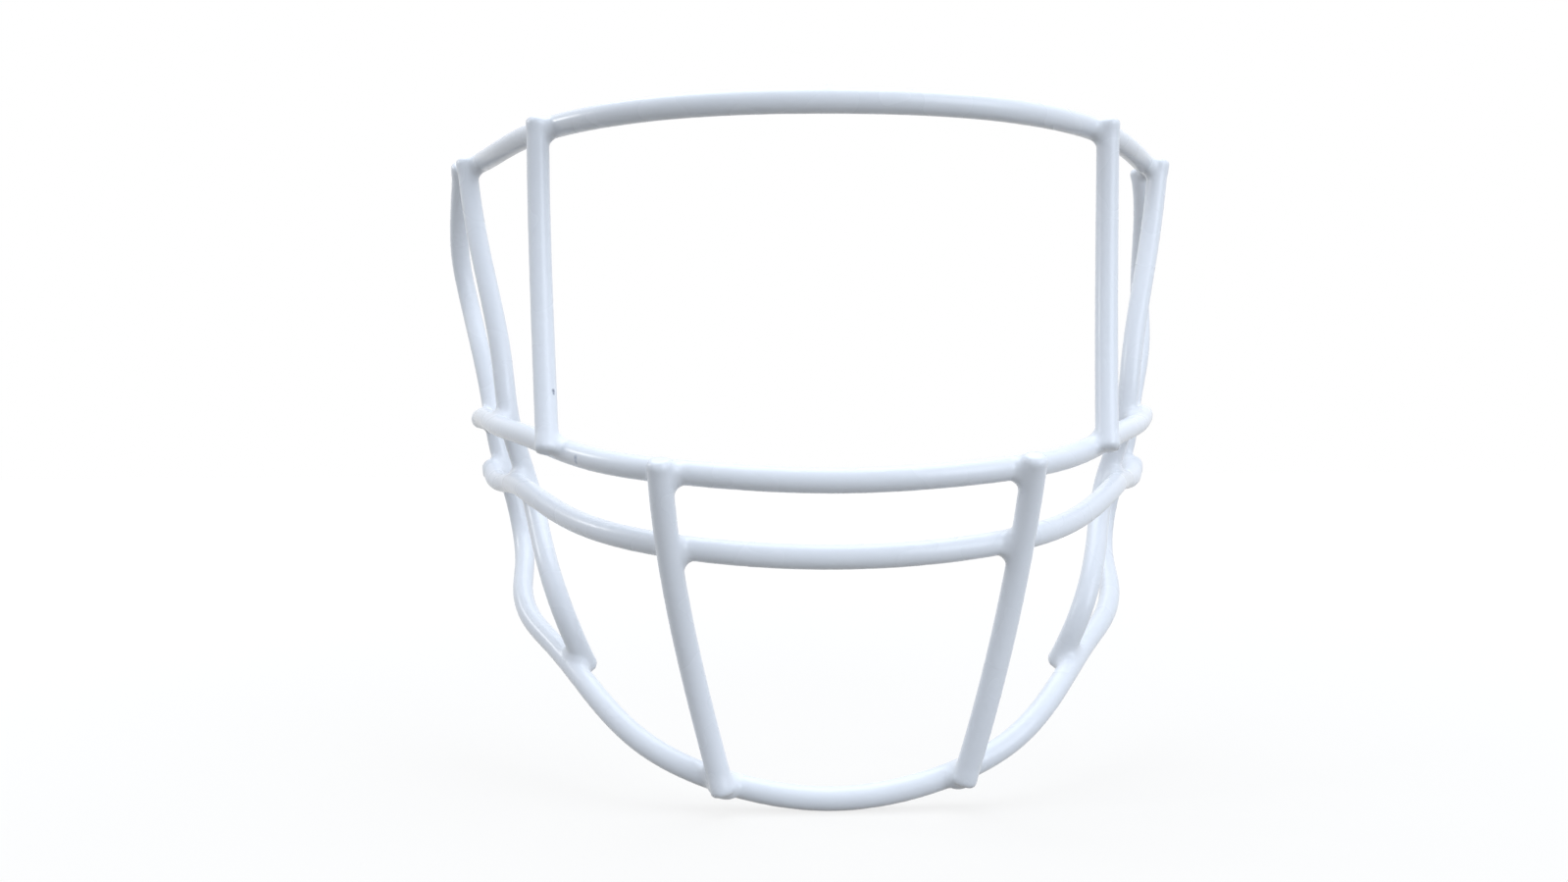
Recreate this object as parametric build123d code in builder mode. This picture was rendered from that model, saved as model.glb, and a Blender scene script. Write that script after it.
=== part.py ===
from build123d import *
import os

os.makedirs("parts", exist_ok=True)

# Football helmet face guard: round steel wires, bent and welded at their laps,
# then dipped as one cage in a soft plastic coating.
# The origin is the middle of the brow bar's centre line.
# X runs to the wearer's left, Y runs back toward the helmet and Z runs up.

# Main sizes, millimetres
half_width = 124.0
reach_back = 118.5
drop = 187.5
wire_diameter = 5.7
coating_thickness = 0.4
weld_sink = 0.9
eye_top_overrun = 1.3
eye_foot_overrun = 0.8
front_top_overrun = 4.4
front_foot_overrun = -0.6
side_top_overrun = 0.6
side_foot_overrun = 2.0
cross_bar_end_overrun = 1.3
brow_end_overrun = 3.2
hoop_top_outset = 1.7
hoop_top_rise = 0.5
front_pair_offset = 3.2
rear_bar_lean = 2.9
lean_start_height = 55.0
lean_full_height = 20.0

# Angle by which the cross bar ends lap round the front of the rear bars, degrees
end_lap_turn = 40.0

# Sizes worked out from the main ones
wire_radius = wire_diameter / 2
coated_radius = wire_radius + coating_thickness
lap = wire_diameter - weld_sink

# Half routes of the long bars, middle to side, as shares of half width, reach back and drop
brow_bar_shares = [
    (0, 0, 0),
    (0.290, 0.042, 0.002),
    (0.532, 0.181, 0.009),
    (0.726, 0.401, 0.018),
    (0.863, 0.637, 0.024),
    (0.948, 0.832, 0.040),
]
upper_cross_bar_shares = [
    (0, -0.111, -0.533),
    (0.290, -0.068, -0.523),
    (0.532, 0.105, -0.501),
    (0.702, 0.333, -0.467),
    (0.831, 0.561, -0.443),
    (0.898, 0.735, -0.426),
]
lower_cross_bar_shares = [
    (0, -0.042, -0.639),
    (0.258, -0.008, -0.631),
    (0.484, 0.131, -0.612),
    (0.637, 0.316, -0.583),
    (0.742, 0.485, -0.552),
    (0.818, 0.657, -0.543),
    (0.873, 0.765, -0.538),
]
rear_hoop_shares = [
    (0, 0.121, -1.0),
    (0.226, 0.144, -0.980),
    (0.428, 0.215, -0.928),
    (0.559, 0.333, -0.864),
    (0.665, 0.477, -0.811),
    (0.758, 0.612, -0.766),
    (0.787, 0.688, -0.732),
    (0.797, 0.764, -0.694),
    (0.825, 0.857, -0.625),
    (0.850, 0.869, -0.561),
    (0.885, 0.861, -0.486),
    (0.909, 0.873, -0.406),
    (0.956, 0.932, -0.289),
    (0.993, 1.0, -0.177),
    (1.0, 0.988, -0.118),
    (0.988, 0.924, -0.033),
]

# Places where the uprights cross the long bars, as shares of half width or drop
eye_top_share = 0.641
eye_foot_share = 0.602
front_top_share = 0.368
front_middle_share = 0.357
front_foot_share = 0.255
side_upper_share = 0.835
side_lower_share = 0.800
side_top_share = 0.908
side_foot_share = 0.833
upper_end_share = 0.428
lower_end_share = 0.517

# Shares of their length at which the two bars with the sharpest bends are made up of lengths
joint_shares = {"rear_hoop": [0.25, 0.75], "lower_cross_bar": [0.25, 0.75]}

# Free points of the uprights between their laps
eye_waist_shares = [(0.670, 0.278, -0.124), (0.656, 0.243, -0.300)]
front_waist_shares = [(0.333, 0.076, -0.801)]
side_waist_upper_shares = [(0.902, 0.684, -0.124), (0.819, 0.582, -0.342)]
side_waist_lower_shares = [(0.694, 0.485, -0.657)]


# Route helpers
def lean_at(height):
    """Side shift of the upper rear bars, growing smoothly with height."""
    rise = (height + lean_start_height) / (lean_start_height - lean_full_height)
    rise = min(max(rise, 0), 1)
    return -rear_bar_lean * rise * rise * (3 - 2 * rise)


def placed(share_point, side=1):
    """Point in millimetres from shares of the three main sizes."""
    across, back, up = share_point
    return Vector(side * across * half_width, back * reach_back, up * drop)


def leaned(point):
    return Vector(point.X + lean_at(point.Z), point.Y, point.Z)


def across_of(point):
    return point.X


def height_of(point):
    return point.Z


def share_where(line, measure, goal, low, high):
    """Share along a line where a measured value reaches its goal."""
    rising = measure(line.position_at(high)) > measure(line.position_at(low))
    for _ in range(40):
        middle = (low + high) / 2
        above = measure(line.position_at(middle)) > goal
        if above == rising:
            high = middle
        else:
            low = middle
    return (low + high) / 2


def lap_point(line, share, along, hint):
    """Point one lap away from a line, square to it and to the bar that crosses it."""
    square = line.tangent_at(share).cross(along).normalized()
    if square.dot(hint) < 0:
        square = -square
    return line.position_at(share) + square * lap


def beyond(first, second, overrun):
    """Point past the first one, on the straight line that comes from the second."""
    return first + (first - second).normalized() * overrun


# Brow bar and rear hoop
def brow_half(side):
    points = [placed(p, side) for p in brow_bar_shares]
    return points + [beyond(points[-1], points[-2], brow_end_overrun)]


brow_bar_line = Spline(*brow_half(-1)[::-1], *brow_half(1)[1:])


def hoop_top(side):
    """Top end of the rear hoop, one lap off the end of the brow bar."""
    brow_end = placed(brow_bar_shares[-1], side)
    across = side * hoop_top_outset - rear_bar_lean
    back = (lap * lap - across * across - hoop_top_rise * hoop_top_rise) ** 0.5
    return brow_end + Vector(across, back, hoop_top_rise)


hoop_right = [leaned(placed(p, 1)) for p in rear_hoop_shares] + [hoop_top(1)]
hoop_left = [leaned(placed(p, -1)) for p in rear_hoop_shares] + [hoop_top(-1)]
rear_hoop_line = Spline(*hoop_left[::-1], *hoop_right[1:])


def hoop_share_at_height(side, height):
    """Share along the hoop at a given height of its left or right rear bar."""
    if side > 0:
        return share_where(rear_hoop_line, height_of, height, 0.5, 1.0)
    return share_where(rear_hoop_line, height_of, height, 0.0, 0.5)


def cross_bar_half(shares, end_height, side):
    """Half of a cross bar, its end lapped on the front and outside of the rear bar."""
    points = [placed(p, side) for p in shares]
    rear_point = rear_hoop_line.position_at(hoop_share_at_height(side, end_height))
    end_point = rear_point + Vector(0, -lap, 0).rotate(Axis.Z, side * end_lap_turn)
    return points + [beyond(end_point, points[-1], cross_bar_end_overrun)]


def cross_bar_route(shares, end_height):
    left = cross_bar_half(shares, end_height, -1)
    right = cross_bar_half(shares, end_height, 1)
    return Spline(*left[::-1], *right[1:])


# Cross bars
upper_cross_bar_line = cross_bar_route(upper_cross_bar_shares, -upper_end_share * drop)
lower_cross_bar_line = cross_bar_route(lower_cross_bar_shares, -lower_end_share * drop)


def host_share(line, side, share, offset=0):
    """Share along a long bar at a share of the half width, plus a side offset."""
    goal = side * share * half_width + offset
    if side > 0:
        return share_where(line, across_of, goal, 0.5, 1.0)
    return share_where(line, across_of, goal, 0.0, 0.5)


# Uprights beside the eyes, on the front of the brow bar and the upper cross bar
def eye_upright_route(side):
    top_share = host_share(brow_bar_line, side, eye_top_share)
    foot_share = host_share(upper_cross_bar_line, side, eye_foot_share)
    top_host = brow_bar_line.position_at(top_share)
    foot_host = upper_cross_bar_line.position_at(foot_share)
    along = foot_host - top_host
    front = Vector(0, -1, 0)
    top_lap = lap_point(brow_bar_line, top_share, along, front)
    foot_lap = lap_point(upper_cross_bar_line, foot_share, along, front)
    waist = [placed(p, side) for p in eye_waist_shares]
    top_end = beyond(top_lap, waist[0], eye_top_overrun)
    foot_end = beyond(foot_lap, waist[-1], eye_foot_overrun)
    return Spline(top_end, *waist, foot_end)


# Uprights at the front, over both cross bars and the chin part of the hoop
def front_upright_route(side):
    shift = front_pair_offset
    top_share = host_share(upper_cross_bar_line, side, front_top_share, shift)
    middle_share = host_share(lower_cross_bar_line, side, front_middle_share, shift)
    foot_share = host_share(rear_hoop_line, side, front_foot_share, shift)
    top_host = upper_cross_bar_line.position_at(top_share)
    middle_host = lower_cross_bar_line.position_at(middle_share)
    foot_host = rear_hoop_line.position_at(foot_share)
    along = foot_host - top_host
    front = Vector(0, -1, 0)
    top_lap = lap_point(upper_cross_bar_line, top_share, along, front)
    middle_lap = lap_point(lower_cross_bar_line, middle_share, along, front)
    foot_lap = lap_point(rear_hoop_line, foot_share, along, front)
    waist = [placed(p, side) + Vector(shift, 0, 0) for p in front_waist_shares]
    top_end = beyond(top_lap, middle_lap, front_top_overrun)
    foot_end = beyond(foot_lap, waist[-1], front_foot_overrun)
    return Spline(top_end, middle_lap, *waist, foot_end)


# Uprights at the sides, outside the brow bar's ends and inside both cross bars
def side_upright_route(side):
    top_share = host_share(brow_bar_line, side, side_top_share)
    upper_share = host_share(upper_cross_bar_line, side, side_upper_share)
    lower_share = host_share(lower_cross_bar_line, side, side_lower_share)
    foot_share = hoop_share_at_height(side, -side_foot_share * drop)
    top_host = brow_bar_line.position_at(top_share)
    upper_host = upper_cross_bar_line.position_at(upper_share)
    lower_host = lower_cross_bar_line.position_at(lower_share)
    foot_host = rear_hoop_line.position_at(foot_share)
    inward = Vector(-side, 0, 0)
    top_lap = lap_point(brow_bar_line, top_share, lower_host - top_host, -inward)
    upper_lap = lap_point(upper_cross_bar_line, upper_share, lower_host - top_host, inward)
    lower_lap = lap_point(lower_cross_bar_line, lower_share, foot_host - upper_host, inward)
    foot_lap = lap_point(rear_hoop_line, foot_share, foot_host - lower_host, inward)
    upper_waist = [placed(p, side) for p in side_waist_upper_shares]
    lower_waist = [placed(p, side) for p in side_waist_lower_shares]
    top_end = beyond(top_lap, upper_waist[0], side_top_overrun)
    foot_end = beyond(foot_lap, lower_waist[-1], side_foot_overrun)
    return Spline(top_end, *upper_waist, upper_lap, lower_lap, *lower_waist, foot_end)


# Centre lines of all the wires, in the order in which their coatings give way
centre_lines = {
    "brow_bar": brow_bar_line,
    "rear_hoop": rear_hoop_line,
    "upper_cross_bar": upper_cross_bar_line,
    "lower_cross_bar": lower_cross_bar_line,
    "eye_upright_left": eye_upright_route(1),
    "eye_upright_right": eye_upright_route(-1),
    "front_upright_left": front_upright_route(1),
    "front_upright_right": front_upright_route(-1),
    "side_upright_left": side_upright_route(1),
    "side_upright_right": side_upright_route(-1),
}

# Welded laps: the long bar, the bar that crosses it and the name of the weld
lap_welds = [
    ("brow_bar", "rear_hoop", "rear_hoop_top_weld"),
    ("upper_cross_bar", "rear_hoop", "upper_cross_bar_end_weld"),
    ("lower_cross_bar", "rear_hoop", "lower_cross_bar_end_weld"),
]
for hand in ("left", "right"):
    lap_welds += [
        ("brow_bar", f"eye_upright_{hand}", "eye_upright_top_weld"),
        ("upper_cross_bar", f"eye_upright_{hand}", "eye_upright_foot_weld"),
        ("upper_cross_bar", f"front_upright_{hand}", "front_upright_top_weld"),
        ("lower_cross_bar", f"front_upright_{hand}", "front_upright_middle_weld"),
        ("rear_hoop", f"front_upright_{hand}", "front_upright_foot_weld"),
        ("brow_bar", f"side_upright_{hand}", "side_upright_top_weld"),
        ("upper_cross_bar", f"side_upright_{hand}", "side_upright_upper_weld"),
        ("lower_cross_bar", f"side_upright_{hand}", "side_upright_lower_weld"),
        ("rear_hoop", f"side_upright_{hand}", "side_upright_foot_weld"),
    ]


def round_bar(line, radius, end_gap, joint_shares):
    """Round bar along a centre line, stopping short of both of its ends by a gap."""
    short = end_gap / line.length
    stops = [short, *joint_shares, 1 - short]
    with BuildPart() as bar:
        for start, finish in zip(stops, stops[1:]):
            length = line.trim(start, finish)
            with BuildLine() as path:
                add(length)
            with BuildSketch(Plane(origin=length.position_at(0), z_dir=length.tangent_at(0))):
                Circle(radius)
            sweep(path=path.wire())
    return bar.part


# Whole bars, still running through each other where they are welded
whole_wires = {}
coated_bars = {}
for name, line in centre_lines.items():
    shares = joint_shares.get(name, [])
    whole_wires[name] = round_bar(line, wire_radius, coating_thickness, shares)
    coated_bars[name] = round_bar(line, coated_radius, 0, shares)


def neighbours(name):
    """Bars that are welded to this one."""
    found = [second for first, second, _ in lap_welds if first == name]
    return found + [first for first, second, _ in lap_welds if second == name]


def steel_wire(name):
    """Wire without the melted lenses that its welds share with its neighbours."""
    with BuildPart() as wire:
        add(whole_wires[name])
        for other in neighbours(name):
            add(whole_wires[other], mode=Mode.SUBTRACT)
    return wire.part


def coating_sleeve(name):
    """Coating round one wire, open where a neighbour is welded on."""
    order = list(centre_lines)
    with BuildPart() as sleeve:
        add(coated_bars[name])
        add(whole_wires[name], mode=Mode.SUBTRACT)
        for other in neighbours(name):
            earlier = order.index(other) < order.index(name)
            add(coated_bars[other] if earlier else whole_wires[other], mode=Mode.SUBTRACT)
    return sleeve.part


def weld_lenses(first, second):
    """Melted lenses that two lapped wires share, one for each place where they meet."""
    with BuildPart() as lens:
        add(whole_wires[first])
        add(whole_wires[second], mode=Mode.INTERSECT)
    return lens.part.solids()


# Export
def save(piece, label):
    piece.label = label
    export_step(piece, f"parts/{label}.step")


for name in centre_lines:
    save(steel_wire(name), f"{name}_wire")
    save(coating_sleeve(name), f"{name}_coating")
for first, second, weld_name in lap_welds:
    for lens in weld_lenses(first, second):
        hand = "left" if lens.center().X > 0 else "right"
        save(lens, f"{weld_name}_{hand}")
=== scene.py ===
import bmesh
import bpy
import math
import numpy as np
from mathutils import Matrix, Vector


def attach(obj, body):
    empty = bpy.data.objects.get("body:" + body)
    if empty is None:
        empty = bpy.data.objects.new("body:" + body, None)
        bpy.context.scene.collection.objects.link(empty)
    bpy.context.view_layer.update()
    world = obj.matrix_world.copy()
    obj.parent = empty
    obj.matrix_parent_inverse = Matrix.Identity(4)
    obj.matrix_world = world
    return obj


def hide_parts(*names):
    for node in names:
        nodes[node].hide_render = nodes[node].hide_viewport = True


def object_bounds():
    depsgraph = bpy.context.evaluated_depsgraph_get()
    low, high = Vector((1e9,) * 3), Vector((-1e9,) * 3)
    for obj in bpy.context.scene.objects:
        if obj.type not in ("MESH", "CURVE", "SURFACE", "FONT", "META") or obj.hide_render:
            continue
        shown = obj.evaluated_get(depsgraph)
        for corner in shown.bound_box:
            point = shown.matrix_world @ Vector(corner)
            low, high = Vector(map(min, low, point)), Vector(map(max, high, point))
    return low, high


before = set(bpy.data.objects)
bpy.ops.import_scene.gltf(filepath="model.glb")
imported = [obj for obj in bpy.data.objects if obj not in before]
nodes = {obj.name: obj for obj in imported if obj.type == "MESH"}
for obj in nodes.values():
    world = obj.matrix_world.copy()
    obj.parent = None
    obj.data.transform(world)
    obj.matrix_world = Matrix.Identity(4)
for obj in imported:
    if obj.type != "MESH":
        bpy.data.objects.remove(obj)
cad_low, cad_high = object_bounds()

MM = 0.001

# Names of the parts of the cage
wires = [n for n in nodes if n.endswith("_wire")]
sleeves = [n for n in nodes if n.endswith("_coating")]
welds = [n for n in nodes if "_weld" in n]

# Wire as drawn, without its coating
wire_diameter = 5.7 * MM
# Points of a mesh closer than this are one point
merge_gap = 0.001 * MM

# Coating of the whole cage as one dip, thicker in the corners where bars lap
coating_thickness = 0.4 * MM
corner_radius = 1.1 * MM
# What the last smoothing takes off the round bars
smoothing_loss = 0.03 * MM
# Grain of the mesh while it is swollen, and after it has shrunk back
swollen_grain = 0.9 * MM
shrunk_grain = 0.86 * MM
# Past the coating's thickness, how near to a bar it is drawn even, and how far off it is left alone
even_reach = 0.05 * MM
corner_reach = 0.4 * MM

# Coating on a sheared wire end: a short cone, a little thicker at the end, with a rounded edge
tip_base_radius = 2.75 * MM
tip_end_radius = 3.02 * MM
tip_length = 5 * MM
tip_rounding = 0.85 * MM
# How far it stands beyond the wire
tip_lead = 0.35 * MM

# Coating in the notch between two lapped wires
filling_half_length = 4.2 * MM
filling_half_width = 2.7 * MM
# Feet of the front uprights: the coating drips beyond the wire, and gathers below the weld
drip = 1.0 * MM
foot_gather = 1.8 * MM

# Small nub on top of the brow bar
nub_place = Vector((-0.9, 0.0, 3.25)) * MM
nub_radius = 0.9 * MM
nub_rise = 0.9 * MM
nub_spread = 2.2 * MM

# What tells a wire's sheared end from a weld notch: a sharp rim, and a flat face of this share at least
sharp_rim = math.radians(80)
flat_end_share = 0.4
# Shares of the wire's diameter: points of one rim lie this close, and a bar's way is read this far along
rim_reach_share = 1.2
way_reach_share = 2


# Small helpers
def deselect_all():
    bpy.ops.object.select_all(action="DESELECT")


def take_up(piece):
    """Makes a piece the only selected and active one."""
    deselect_all()
    piece.select_set(True)
    bpy.context.view_layer.objects.active = piece


def apply_modifier(piece, kind, **settings):
    take_up(piece)
    modifier = piece.modifiers.new(kind.lower(), kind)
    for key, value in settings.items():
        setattr(modifier, key, value)
    bpy.ops.object.modifier_apply(modifier=modifier.name)


def colour(hex_code):
    """Linear colour from an sRGB hex value."""
    parts = [int(hex_code[i:i + 2], 16) / 255 for i in (1, 3, 5)]
    linear = [c / 12.92 if c <= 0.04045 else ((c + 0.055) / 1.055) ** 2.4 for c in parts]
    return (*linear, 1.0)


def new_material(name):
    material = bpy.data.materials.new(name)
    material.use_nodes = True
    material.node_tree.nodes.clear()
    return material


def add_node(material, kind, links=None, **settings):
    """Adds a node. Names of inputs in links take either a value or another node's output."""
    tree = material.node_tree
    node = tree.nodes.new(kind)
    for key, value in settings.items():
        setattr(node, key, value)
    for key, value in (links or {}).items():
        if isinstance(value, bpy.types.NodeSocket):
            tree.links.new(value, node.inputs[key])
        else:
            node.inputs[key].default_value = value
    return node


def give_material(piece, material):
    piece.data.materials.clear()
    piece.data.materials.append(material)


# Camera at the photograph's place
bpy.ops.object.camera_add(
    location=(-20.45 * MM, -303.8 * MM, -94.2 * MM),
    rotation=(math.radians(90.85), math.radians(0.26), math.radians(-1.394)),
)
camera = bpy.context.object
camera.data.sensor_width = 36.0
camera.data.lens = 26.567
camera.data.clip_start = 0.01
bpy.context.scene.camera = camera


# Marks on the coating: middle and radius in millimetres, and colour
scuff_core_share = 0.1
scuffs = [
    ((-77.15, 22.2, -75.0), 0.8, "#6A7084"),
    ((-77.06, 22.04, -75.8), 0.6, "#8A90A2"),
    ((-69.4, 11.3, -93.8), 1.0, "#B4BBCA"),
    ((-69.3, 11.6, -95.0), 0.9, "#BEC5D2"),
]


# Materials
def white_dip_coating():
    """Vinyl plastisol, dipped hot and cured in an oven: thick, glossy and a little cool in tone.
    The dip leaves a faint ripple a few millimetres long, and the gloss varies slightly with it."""
    material = new_material("white_vinyl_dip_coating")
    place = add_node(material, "ShaderNodeTexCoord").outputs["Object"]
    # Faint change of tone over 20 mm
    tone = add_node(material, "ShaderNodeTexNoise", {
        "Vector": place, "Scale": 1 / (20 * MM), "Detail": 2.0,
    })
    shade = add_node(material, "ShaderNodeMix", {
        "Factor": tone.outputs["Fac"], "A": colour("#F0F2F5"), "B": colour("#F5F6F8"),
    }, data_type="RGBA")
    # Small marks from handling: one dark and one faint, each of two spots
    worn = shade.outputs["Result"]
    for middle, radius, tint in scuffs:
        reach = add_node(material, "ShaderNodeVectorMath", {
            0: place, 1: tuple(length * MM for length in middle),
        }, operation="DISTANCE")
        cover = add_node(material, "ShaderNodeMapRange", {
            "Value": reach.outputs["Value"],
            "From Min": radius * MM, "From Max": scuff_core_share * radius * MM,
        })
        mark = add_node(material, "ShaderNodeMix", {
            "Factor": cover.outputs["Result"], "A": worn, "B": colour(tint),
        }, data_type="RGBA")
        worn = mark.outputs["Result"]
    # Ripple of the cured dip, about 6 mm long
    ripple = add_node(material, "ShaderNodeTexNoise", {
        "Vector": place, "Scale": 1 / (6 * MM), "Detail": 2.0,
    })
    skin = add_node(material, "ShaderNodeBump", {
        "Height": ripple.outputs["Fac"], "Strength": 0.15, "Distance": 0.3 * MM,
    })
    gloss = add_node(material, "ShaderNodeMapRange", {
        "Value": tone.outputs["Fac"], "To Min": 0.22, "To Max": 0.32,
    })
    surface = add_node(material, "ShaderNodeBsdfPrincipled", {
        "Base Color": worn,
        "Roughness": gloss.outputs["Result"],
        "IOR": 1.53,
        "Normal": skin.outputs["Normal"],
    })
    add_node(material, "ShaderNodeOutputMaterial", {"Surface": surface.outputs["BSDF"]})
    return material


def drawn_steel():
    """Low carbon steel wire, drawn through a die: dull grey, with a gloss that varies over 0.8 mm."""
    material = new_material("drawn_steel_wire")
    place = add_node(material, "ShaderNodeTexCoord").outputs["Object"]
    marks = add_node(material, "ShaderNodeTexNoise", {
        "Vector": place, "Scale": 1 / (0.8 * MM), "Detail": 3.0,
    })
    gloss = add_node(material, "ShaderNodeMapRange", {
        "Value": marks.outputs["Fac"], "To Min": 0.35, "To Max": 0.5,
    })
    surface = add_node(material, "ShaderNodeBsdfPrincipled", {
        "Base Color": colour("#8E9094"),
        "Metallic": 1.0,
        "Roughness": gloss.outputs["Result"],
    })
    add_node(material, "ShaderNodeOutputMaterial", {"Surface": surface.outputs["BSDF"]})
    return material


def weld_steel():
    """Steel melted by a resistance weld and cooled in air: darker than the wire, with a blue oxide."""
    material = new_material("resistance_weld_steel")
    place = add_node(material, "ShaderNodeTexCoord").outputs["Object"]
    grains = add_node(material, "ShaderNodeTexNoise", {
        "Vector": place, "Scale": 1 / (1.0 * MM), "Detail": 2.0,
    })
    tint = add_node(material, "ShaderNodeMix", {
        "Factor": grains.outputs["Fac"], "A": colour("#55585F"), "B": colour("#70757E"),
    }, data_type="RGBA")
    surface = add_node(material, "ShaderNodeBsdfPrincipled", {
        "Base Color": tint.outputs["Result"],
        "Metallic": 1.0,
        "Roughness": 0.5,
    })
    add_node(material, "ShaderNodeOutputMaterial", {"Surface": surface.outputs["BSDF"]})
    return material


# Coating of the whole cage
def flat_patch(faces):
    """Middle, outward way and area of the largest flat patch among some faces."""
    patches = {}
    for face in faces:
        key = tuple(round(part, 3) for part in face.normal)
        patches.setdefault(key, []).append(face)
    patch = max(patches.values(), key=lambda group: sum(face.calc_area() for face in group))
    area = sum(face.calc_area() for face in patch)
    middle = sum((face.calc_center_median() * face.calc_area() for face in patch), Vector()) / area
    return middle, patch[0].normal.copy(), area


def wire_ends(wire):
    """Middle of each sheared end of a wire, and the way that it points, found from its mesh.
    An end has a sharp rim and a flat face, which the weld notches beside it don't have."""
    mesh = bmesh.new()
    mesh.from_mesh(wire.data)
    bmesh.ops.remove_doubles(mesh, verts=mesh.verts, dist=merge_gap)
    rims = [
        edge.verts[0].co.copy() for edge in mesh.edges
        if len(edge.link_faces) == 2 and edge.calc_face_angle() > sharp_rim
    ]
    whole_end = math.pi * (wire_diameter / 2) ** 2
    ends = []
    while rims:
        start = rims[0]
        rims = [place for place in rims if (place - start).length > rim_reach_share * wire_diameter]
        near = [
            face for face in mesh.faces
            if (face.calc_center_median() - start).length < wire_diameter
        ]
        middle, way, area = flat_patch(near)
        if area > flat_end_share * whole_end:
            ends.append((middle, way))
    mesh.free()
    return ends


def bar_way(bar, place):
    """Way in which a bar runs past a place, from the points of its mesh near it."""
    points = np.empty(len(bar.data.vertices) * 3)
    bar.data.vertices.foreach_get("co", points)
    points = points.reshape(-1, 3)
    gaps = np.linalg.norm(points - np.array(place), axis=1)
    near = points[gaps < way_reach_share * wire_diameter]
    return Vector(np.linalg.svd(near - near.mean(axis=0), full_matrices=False)[2][0])


def middle_of(piece):
    points = [vertex.co for vertex in piece.data.vertices]
    return sum(points, Vector()) / len(points)


def rounded_tip(place, way):
    """Coating that gathers on a sheared wire end: a little thicker, with a rounded edge."""
    bpy.ops.mesh.primitive_cone_add(
        vertices=48, radius1=tip_base_radius, radius2=tip_end_radius, depth=tip_length,
        location=place - way * tip_length / 2, rotation=way.to_track_quat("Z", "Y").to_euler(),
    )
    tip = bpy.context.object
    apply_modifier(tip, "BEVEL", width=tip_rounding, segments=4, limit_method="ANGLE")
    bpy.ops.object.transform_apply(location=True, rotation=True, scale=True)
    return tip


def filled_lap(middle, way):
    """Coating that gathers in the notch between two lapped wires."""
    bpy.ops.mesh.primitive_uv_sphere_add(
        segments=48, ring_count=24, radius=1, location=middle,
        rotation=way.to_track_quat("X", "Z").to_euler(),
        scale=(filling_half_length, filling_half_width, filling_half_width),
    )
    bpy.ops.object.transform_apply(location=True, rotation=True, scale=True)
    return bpy.context.object


def bare_cage():
    """Copy of the wires and welds, with their thick spots, joined to one mesh."""
    pieces = []
    for name in wires + welds:
        core = bpy.data.objects.new(name + "_core", nodes[name].data.copy())
        bpy.context.scene.collection.objects.link(core)
        pieces.append(core)
    ends = {name: wire_ends(nodes[name]) for name in wires}
    for name in wires:
        for place, way in ends[name]:
            drips = name.startswith("front_upright") and way.z < 0
            lead = tip_lead + drip if drips else tip_lead
            pieces.append(rounded_tip(place + way * lead, way))
    for side in ("left", "right"):
        top = middle_of(nodes[f"front_upright_top_weld_{side}"])
        pieces.append(filled_lap(top, bar_way(nodes["upper_cross_bar_wire"], top)))
        foot = middle_of(nodes[f"front_upright_foot_weld_{side}"])
        ways = [way for place, way in ends[f"front_upright_{side}_wire"]]
        down = min(ways, key=lambda way: way.z)
        pieces.append(filled_lap(foot + down * foot_gather, bar_way(nodes["rear_hoop_wire"], foot)))
    deselect_all()
    for piece in pieces:
        piece.select_set(True)
    bpy.context.view_layer.objects.active = pieces[0]
    bpy.ops.object.join()
    bpy.ops.object.mode_set(mode="EDIT")
    bpy.ops.mesh.select_all(action="SELECT")
    bpy.ops.mesh.remove_doubles(threshold=merge_gap)
    bpy.ops.object.mode_set(mode="OBJECT")
    return bpy.context.object


def dipped_coating():
    core = bare_cage()
    dip = bpy.data.objects.new("dipped_coating", core.data.copy())
    bpy.context.scene.collection.objects.link(dip)
    # Swollen first and shrunk back after, so that it stays full in the corners
    apply_modifier(dip, "DISPLACE", strength=coating_thickness + corner_radius, mid_level=0.0)
    apply_modifier(dip, "REMESH", mode="VOXEL", voxel_size=swollen_grain)
    apply_modifier(dip, "SMOOTH", factor=0.5, iterations=10)
    apply_modifier(dip, "DISPLACE", strength=-corner_radius, mid_level=0.0)
    apply_modifier(dip, "REMESH", mode="VOXEL", voxel_size=shrunk_grain)
    apply_modifier(dip, "SMOOTH", factor=0.5, iterations=8)
    # Drawn to an even thickness wherever it is close to a bar, and left alone in the corners
    near_bar = dip.vertex_groups.new(name="near_bar")
    near_bar.add(range(len(dip.data.vertices)), 1.0, "REPLACE")
    apply_modifier(
        dip, "VERTEX_WEIGHT_PROXIMITY", vertex_group="near_bar", target=core,
        proximity_mode="GEOMETRY", proximity_geometry={"FACE"},
        min_dist=coating_thickness + corner_reach, max_dist=coating_thickness + even_reach,
    )
    for iterations in (6, 2):
        apply_modifier(
            dip, "SHRINKWRAP", target=core, wrap_method="NEAREST_SURFACEPOINT",
            wrap_mode="OUTSIDE_SURFACE", offset=coating_thickness + smoothing_loss,
            vertex_group="near_bar",
        )
        apply_modifier(dip, "SMOOTH", factor=0.5, iterations=iterations)
    dip.vertex_groups.clear()
    bpy.data.objects.remove(core)
    # Nub of coating, left where the brow bar hung in the oven
    take_up(dip)
    for vertex in dip.data.vertices:
        vertex.select = (vertex.co - nub_place).length < nub_radius
    bpy.ops.object.mode_set(mode="EDIT")
    bpy.ops.transform.translate(
        value=(0, 0, nub_rise), use_proportional_edit=True,
        proportional_edit_falloff="SMOOTH", proportional_size=nub_spread,
    )
    bpy.ops.object.mode_set(mode="OBJECT")
    bpy.ops.object.shade_smooth()
    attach(dip, "root")
    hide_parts(*sleeves)
    return dip


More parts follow.
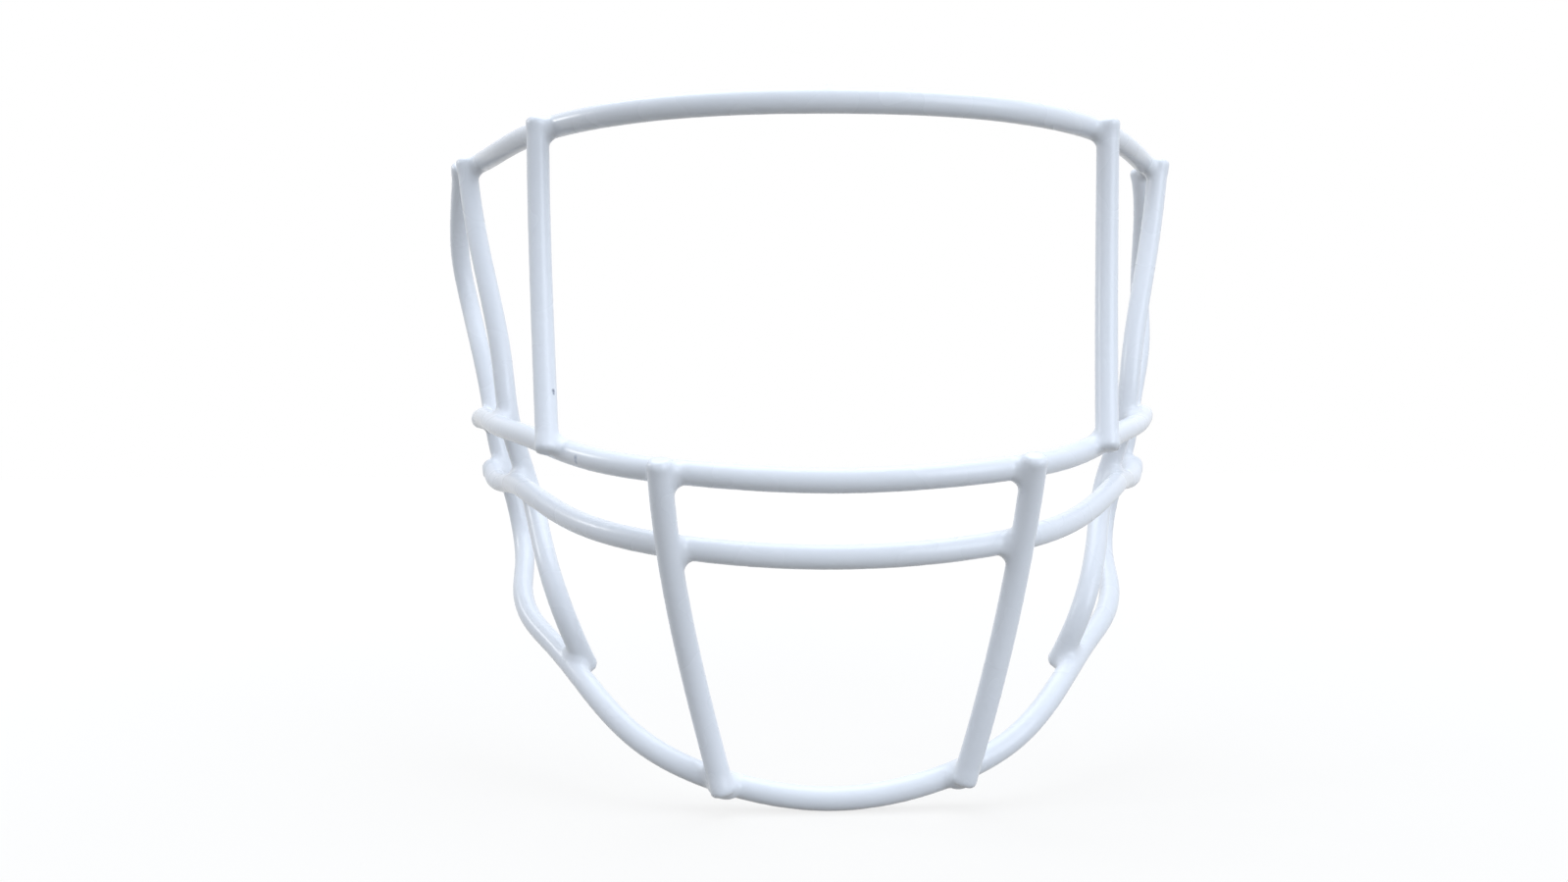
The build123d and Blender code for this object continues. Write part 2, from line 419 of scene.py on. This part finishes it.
coating_material = white_dip_coating()
wire_material = drawn_steel()
weld_material = weld_steel()
for name in wires:
    give_material(nodes[name], wire_material)
for name in welds:
    give_material(nodes[name], weld_material)
for name in sleeves:
    give_material(nodes[name], coating_material)

dip = dipped_coating()
give_material(dip, coating_material)


def seen_straight(material):
    """One for camera rays, reflections and what shows through clear pieces, and nought for light."""
    path = add_node(material, "ShaderNodeLightPath")
    mirrored = add_node(material, "ShaderNodeMath", {
        0: path.outputs["Is Camera Ray"], 1: path.outputs["Is Glossy Ray"],
    }, operation="MAXIMUM")
    return add_node(material, "ShaderNodeMath", {
        0: mirrored.outputs["Value"], 1: path.outputs["Is Transmission Ray"],
    }, operation="MAXIMUM").outputs["Value"]


# Floor: plain and pale, white to the camera and in reflections except where the cage shades it.
# It glows a little more far off, so that no horizon line shows. Lengths in metres.
floor_size = 12
near_floor = 0.2
far_floor = 1.5
near_glow = 0.77
far_glow = 0.88


def studio_floor():
    material = new_material("pale_studio_floor")
    matt = add_node(material, "ShaderNodeBsdfDiffuse", {"Color": colour("#7C7974")})
    place = add_node(material, "ShaderNodeTexCoord").outputs["Object"]
    reach = add_node(material, "ShaderNodeVectorMath", {0: place}, operation="LENGTH")
    fill = add_node(material, "ShaderNodeMapRange", {
        "Value": reach.outputs["Value"],
        "From Min": near_floor, "From Max": far_floor, "To Min": near_glow, "To Max": far_glow,
    })
    glow = add_node(material, "ShaderNodeEmission", {
        "Color": (1, 1, 1, 1), "Strength": fill.outputs["Result"],
    })
    bright = add_node(material, "ShaderNodeAddShader", {
        0: matt.outputs["BSDF"], 1: glow.outputs["Emission"],
    })
    choice = add_node(material, "ShaderNodeMixShader", {
        "Fac": seen_straight(material), 1: matt.outputs["BSDF"], 2: bright.outputs["Shader"],
    })
    add_node(material, "ShaderNodeOutputMaterial", {"Surface": choice.outputs["Shader"]})
    bpy.ops.mesh.primitive_plane_add(size=floor_size, location=(0, 0, cad_low.z))
    floor = bpy.context.object
    floor.name = "studio_floor"
    give_material(floor, material)


studio_floor()


# Light: a broad soft lamp overhead, one at the front right, a small window and a pale room
middle_of_cage = Vector((0, 0.05, -0.09))


def soft_lamp(name, place, size, power, tint="#E7F1FF"):
    bpy.ops.object.light_add(type="AREA", location=place)
    lamp = bpy.context.object
    lamp.name = name
    lamp.data.shape = "SQUARE"
    lamp.data.size = size
    lamp.data.energy = power
    lamp.data.color = colour(tint)[:3]
    lamp.rotation_euler = (middle_of_cage - Vector(place)).to_track_quat("-Z", "Y").to_euler()


soft_lamp("overhead_lamp", (0.0, 0.35, 1.2), 1.2, 8.0)
soft_lamp("side_lamp", (0.9, -0.9, 0.4), 0.9, 7.0)
soft_lamp("window_lamp", (-1.1, 0.22, 0.48), 0.22, 1.5, "#FFFFFF")

world = bpy.data.worlds.new("pale_room")
bpy.context.scene.world = world
world.use_nodes = True
world.node_tree.nodes.clear()
room = add_node(world, "ShaderNodeBackground", {"Color": colour("#E7F1FF"), "Strength": 0.84})
white = add_node(world, "ShaderNodeBackground", {"Color": (1, 1, 1, 1), "Strength": 1.0})
mixed = add_node(world, "ShaderNodeMixShader", {
    "Fac": seen_straight(world), 1: room.outputs["Background"], 2: white.outputs["Background"],
})
add_node(world, "ShaderNodeOutputWorld", {"Surface": mixed.outputs["Shader"]})
bpy.context.scene.view_settings.view_transform = "Standard"
